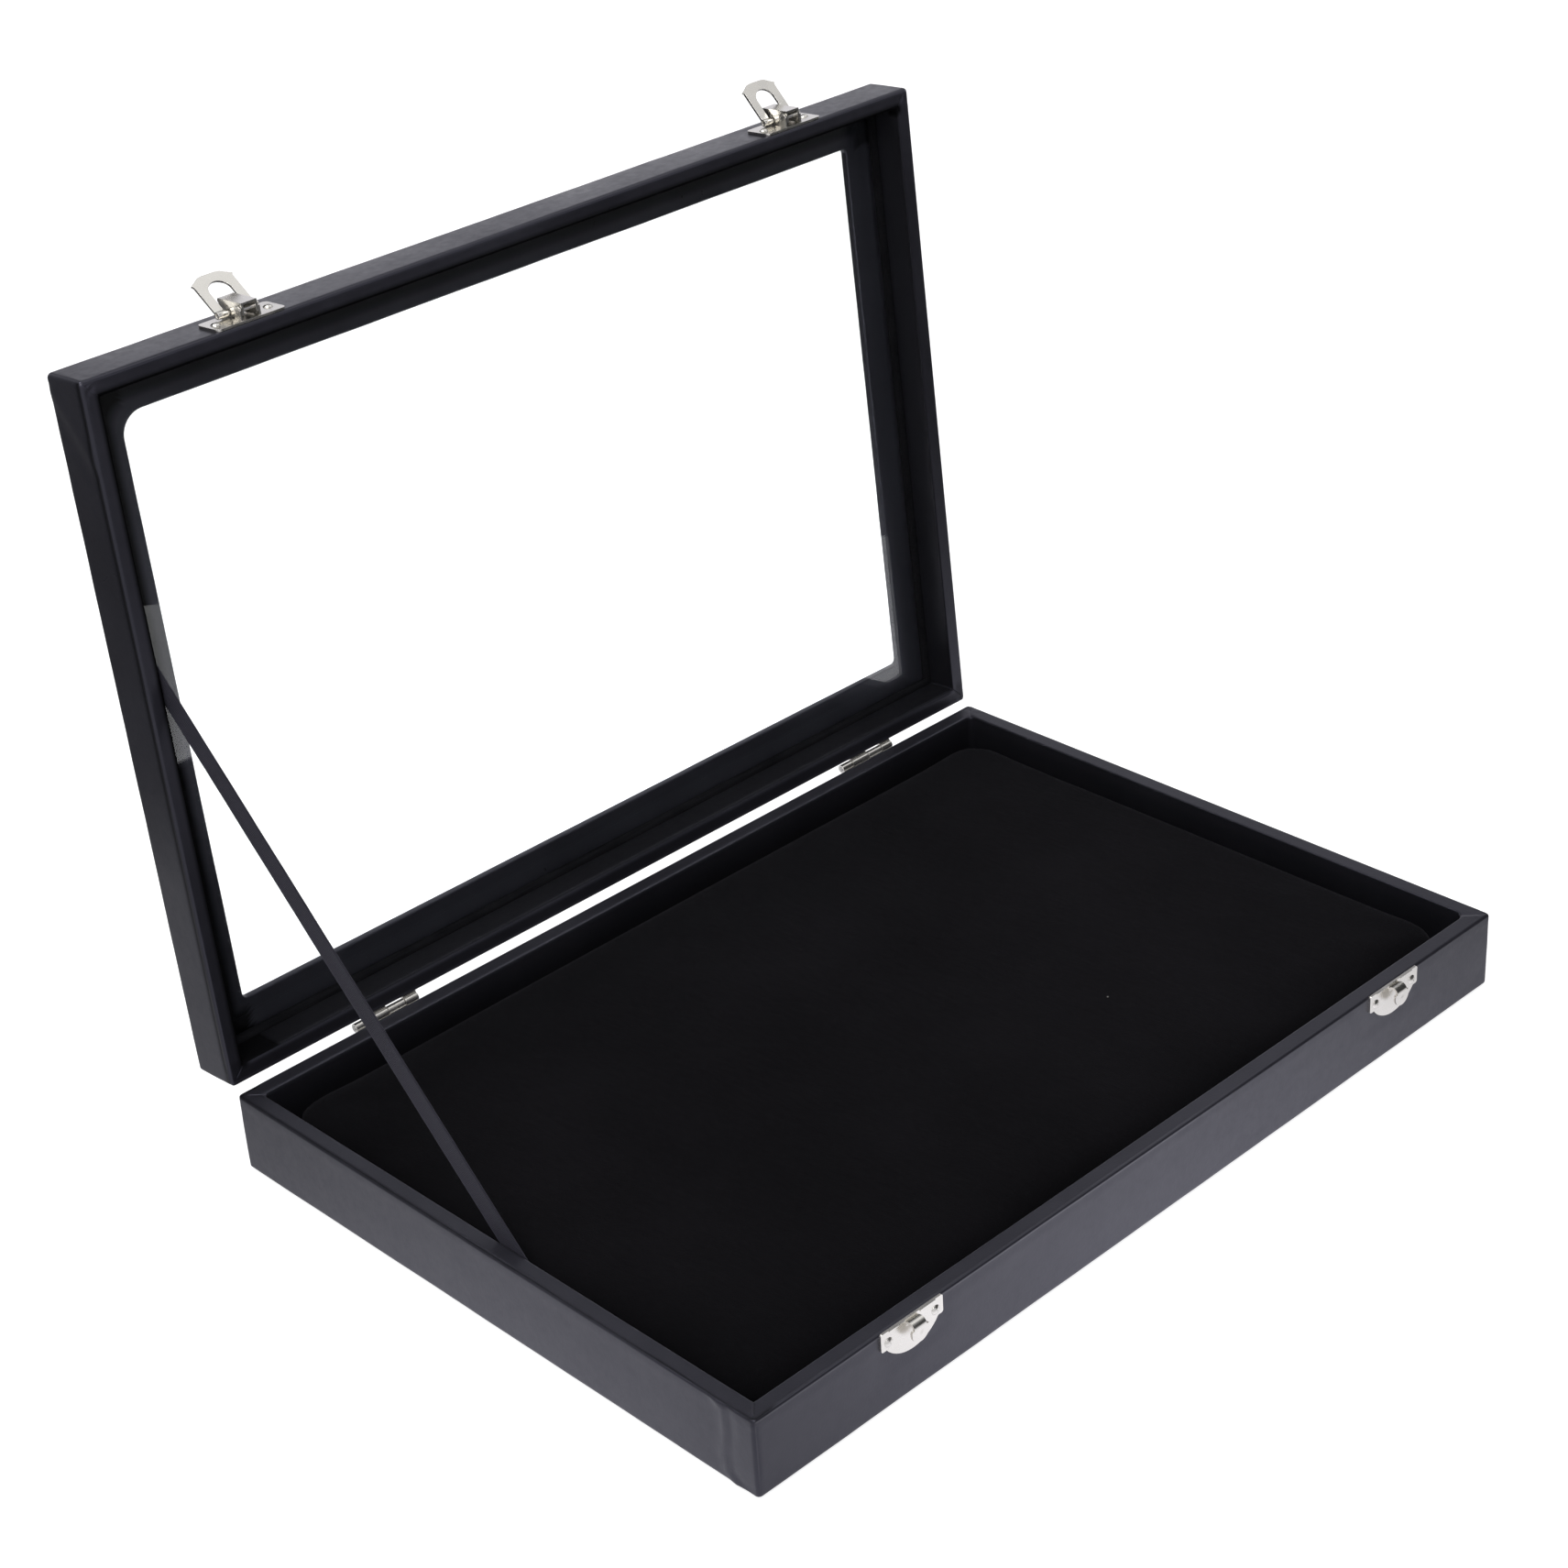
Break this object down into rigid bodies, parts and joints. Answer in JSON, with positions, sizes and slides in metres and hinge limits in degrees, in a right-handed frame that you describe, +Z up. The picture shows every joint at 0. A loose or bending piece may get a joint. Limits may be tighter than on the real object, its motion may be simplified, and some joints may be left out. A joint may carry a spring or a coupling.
{
  "type": "medal display case",
  "caption": "Black leatherette medal display case with a velvet pad, a hinged glass-windowed lid standing open on a ribbon stay, and nickel toggle clasps with hook catches.",
  "frame": {"origin": "middle of the base's underside", "axes": "+X along the front from left to right, +Y from the front towards the hinges, +Z up"},
  "size_m": [0.35, 0.2869, 0.2826],
  "materials": {
    "leatherette": "fine grain, satin",
    "velvet": "short pile",
    "ribbon": "woven",
    "nickel": "bright plated",
    "pin": "plain",
    "tack": "black",
    "glass": "clear",
    "bead": "black stain",
    "board": "raw",
    "panel": "hardboard",
    "underlay": "matt",
    "card": "grey board",
    "foam": "soft foam"
  },
  "bodies": {
    "base": {"base_front_wall": "board", "base_rear_wall": "board", "base_left_wall": "board", "base_right_wall": "board", "base_bottom_panel": "panel", "base_wrap": "leatherette", "base_underlay": "underlay", "pad_board": "card", "pad_foam": "foam", "pad_cover": "velvet", "strap": "ribbon", "strap_base_tack": "tack", "hinge_base_leaf_left": "nickel", "hinge_base_leaf_right": "nickel", "hinge_pin_left": "pin", "hinge_pin_right": "pin", "hinge_base_nails": "nickel", "catch_left": "nickel", "catch_right": "nickel", "catch_nails": "nickel"},
    "lid": {"lid_front_rail": "board", "lid_rear_rail": "board", "lid_left_rail": "board", "lid_right_rail": "board", "lid_window_panel": "panel", "lid_wrap": "leatherette", "glass_pane": "glass", "bead_front": "bead", "bead_rear": "bead", "bead_left": "bead", "bead_right": "bead", "strap_lid_tack": "tack", "hinge_lid_leaf_left": "nickel", "hinge_lid_leaf_right": "nickel", "hinge_lid_nails": "nickel", "clasp_plate_left": "nickel", "clasp_plate_right": "nickel", "clasp_nails": "nickel", "lever_pin_left": "pin", "lever_pin_right": "pin"},
    "lever_left": {"lever_left": "nickel", "loop_pin_left": "pin"},
    "lever_right": {"lever_right": "nickel", "loop_pin_right": "pin"},
    "loop_left": {"loop_left": "nickel"},
    "loop_right": {"loop_right": "nickel"}
  },
  "joints": [
    {"name": "lid_hinge", "type": "hinge", "parent": "base", "child": "lid", "pos_m": [0, 0.12205, 0.02855], "axis": [1, 0, 0], "range_deg": [0, 94.4], "deforming": ["strap"]},
    {"name": "lever_left_hinge", "type": "hinge", "parent": "lid", "child": "lever_left", "pos_m": [-0.1123, 0.14365, 0.27336], "axis": [-1, 0, 0], "range_deg": [-110, 0]},
    {"name": "loop_left_hinge", "type": "hinge", "parent": "lever_left", "child": "loop_left", "pos_m": [-0.1123, 0.14952, 0.27151], "axis": [1, 0, 0], "range_deg": [-27, 143]},
    {"name": "lever_right_hinge", "type": "hinge", "parent": "lid", "child": "lever_right", "pos_m": [0.119, 0.14365, 0.27336], "axis": [-1, 0, 0], "range_deg": [-110, 0]},
    {"name": "loop_right_hinge", "type": "hinge", "parent": "lever_right", "child": "loop_right", "pos_m": [0.119, 0.14952, 0.27151], "axis": [1, 0, 0], "range_deg": [-39, 131]}
  ]
}
